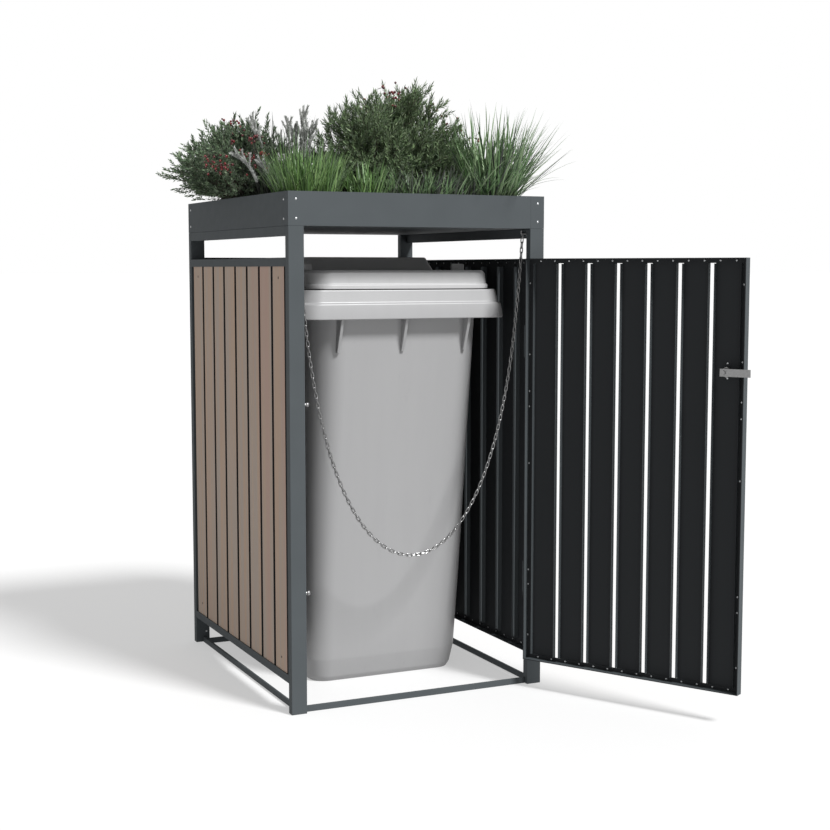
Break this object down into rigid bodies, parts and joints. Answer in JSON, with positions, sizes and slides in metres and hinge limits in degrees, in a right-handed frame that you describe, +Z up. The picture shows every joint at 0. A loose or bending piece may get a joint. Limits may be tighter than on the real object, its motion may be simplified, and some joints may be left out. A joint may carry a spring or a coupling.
{
  "type": "wheelie bin store with planted roof",
  "caption": "Steel store for one wheelie bin with wood-look slats, a hinged slatted door, a safety chain and a planted roof tray.",
  "frame": {"origin": "on the floor under the middle of the front base rail", "axes": "+Z up, +X to the right seen from the front, +Y from the door towards the back"},
  "size_m": [1.1372, 1.3457, 1.586],
  "materials": {
    "frame_coat": "fine matte powder coat",
    "inside_coat": "matte powder coat on the inner faces",
    "slat_coat": "matte wood-grain print on steel",
    "zinc": "zinc plated",
    "bin_plastic": "satin moulded polyethylene",
    "lid_plastic": "satin moulded polyethylene",
    "wheel_rubber": "matte",
    "soil": "loose dark potting soil",
    "shrub": "dense small leaves",
    "silver_shrub": "grey-green leaves",
    "grass": "long narrow blades"
  },
  "bodies": {
    "housing": {"post_front_left": "frame_coat", "post_front_right": "frame_coat", "post_rear_left": "frame_coat", "post_rear_right": "frame_coat", "base_rail_front": "frame_coat", "base_rail_left": "frame_coat", "base_rail_right": "frame_coat", "base_rail_rear": "frame_coat", "top_rail_left": "frame_coat", "top_rail_right": "frame_coat", "tray_front": "frame_coat", "tray_left": "frame_coat", "tray_right": "frame_coat", "tray_rear": "frame_coat", "tray_floor": "inside_coat", "soil": "soil", "shrub_centre": "shrub", "shrub_left": "silver_shrub", "grass_middle": "grass", "grass_right": "grass", "panel_frame_left": "frame_coat", "slat_left_1": "slat_coat", "slat_left_2": "slat_coat", "slat_left_3": "slat_coat", "slat_left_4": "slat_coat", "slat_left_5": "slat_coat", "slat_left_6": "slat_coat", "slat_left_7": "slat_coat", "slat_left_8": "slat_coat", "panel_right": "inside_coat", "panel_rear": "inside_coat", "hinge_lower_post_leaf": "frame_coat", "hinge_upper_post_leaf": "frame_coat", "dome_nut_lower": "zinc", "dome_nut_upper": "zinc", "chain_hook_left": "zinc", "chain_hook_right": "zinc", "chain": "zinc"},
    "door": {"door_frame": "frame_coat", "slat_door_1": "slat_coat", "slat_door_2": "slat_coat", "slat_door_3": "slat_coat", "slat_door_4": "slat_coat", "slat_door_5": "slat_coat", "slat_door_6": "slat_coat", "slat_door_7": "slat_coat", "hinge_lower_door_leaf": "frame_coat", "hinge_upper_door_leaf": "frame_coat", "lock_body": "zinc"},
    "latch": {"lock_cam": "zinc", "lock_handle": "zinc"},
    "bin": {"bin_body": "bin_plastic", "bin_grip": "bin_plastic", "bin_axle": "zinc"},
    "lid": {"bin_lid": "lid_plastic"},
    "wheel_left": {"bin_wheel_left": "wheel_rubber"},
    "wheel_right": {"bin_wheel_right": "wheel_rubber"}
  },
  "joints": [
    {"name": "door_swing", "type": "hinge", "parent": "housing", "child": "door", "pos_m": [0.3009, -0.0193, 0.583], "axis": [0, 0, 1], "range_deg": [-119.8, 40]},
    {"name": "latch_turn", "type": "hinge", "parent": "door", "child": "latch", "pos_m": [0.56478, -0.4871, 0.83], "axis": [-0.8678, -0.497, 0], "range_deg": [-90, 90]},
    {"name": "bin_tip", "type": "hinge", "parent": "housing", "child": "bin", "pos_m": [0.0095, 0.2297, 0], "axis": [1, 0, 0], "range_deg": [0, 2]},
    {"name": "lid_lift", "type": "hinge", "parent": "bin", "child": "lid", "pos_m": [0.0095, 0.7507, 0.995], "axis": [-1, 0, 0], "range_deg": [0, 8]},
    {"name": "wheel_left_roll", "type": "hinge", "parent": "bin", "child": "wheel_left", "pos_m": [-0.166, 0.6547, 0.1], "axis": [1, 0, 0], "continuous": true},
    {"name": "wheel_right_roll", "type": "hinge", "parent": "bin", "child": "wheel_right", "pos_m": [0.185, 0.6547, 0.1], "axis": [1, 0, 0], "continuous": true}
  ]
}
